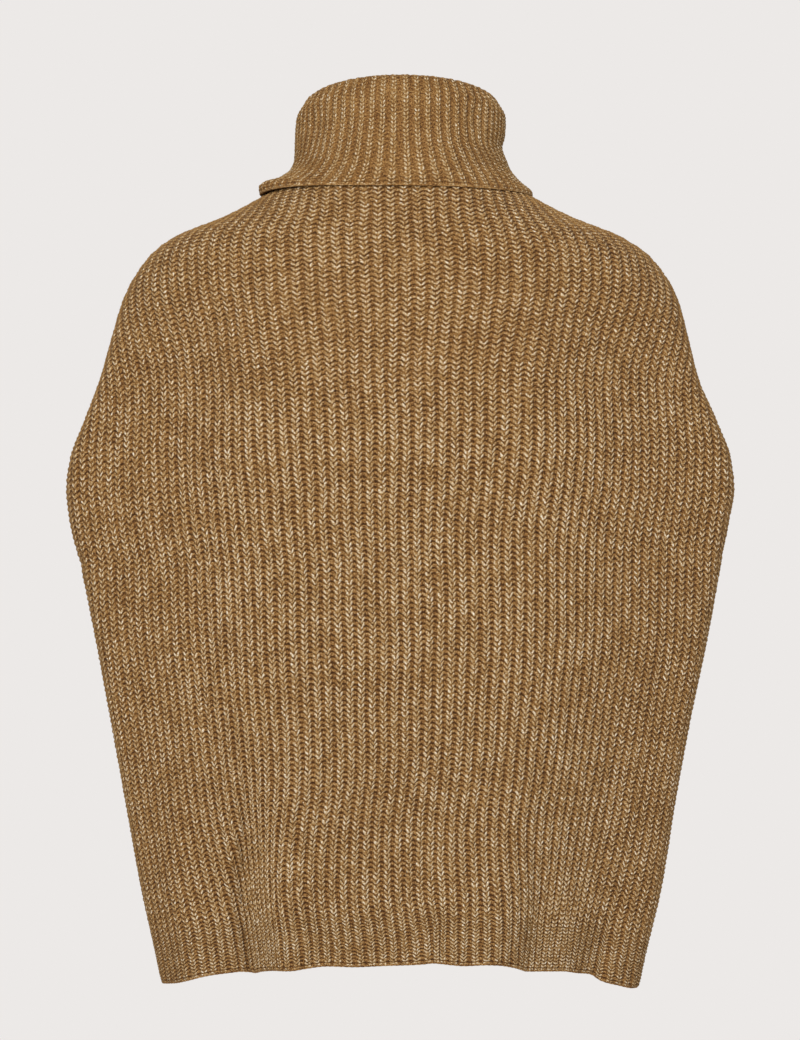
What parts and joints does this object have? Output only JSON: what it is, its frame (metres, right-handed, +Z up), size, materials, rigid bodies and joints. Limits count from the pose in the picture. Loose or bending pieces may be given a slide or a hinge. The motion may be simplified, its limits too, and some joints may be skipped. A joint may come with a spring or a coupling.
{
  "type": "turtleneck poncho",
  "caption": "Hollow worn poncho in chunky half-cardigan rib, with a folded-over roll collar, closed sides and a finer rib hem band.",
  "frame": {"origin": "middle of the shoulder line where the garment hangs, at the level where the neck meets the shoulders; the point lies in the open neck", "axes": "+Z up along the worn garment, -Y out of its back (the side in the picture), +X to the right as seen from behind"},
  "size_m": [0.6004, 0.3349, 0.8097],
  "materials": {
    "body_knit": "camel-brown marled wool in chunky half-cardigan rib, soft and matt with a light nap",
    "collar_knit": "the same camel-brown marled wool in a finer 1x1 rib"
  },
  "bodies": {
    "root": {"back_panel": "body_knit", "front_panel": "body_knit", "roll_collar": "collar_knit"}
  },
  "joints": []
}
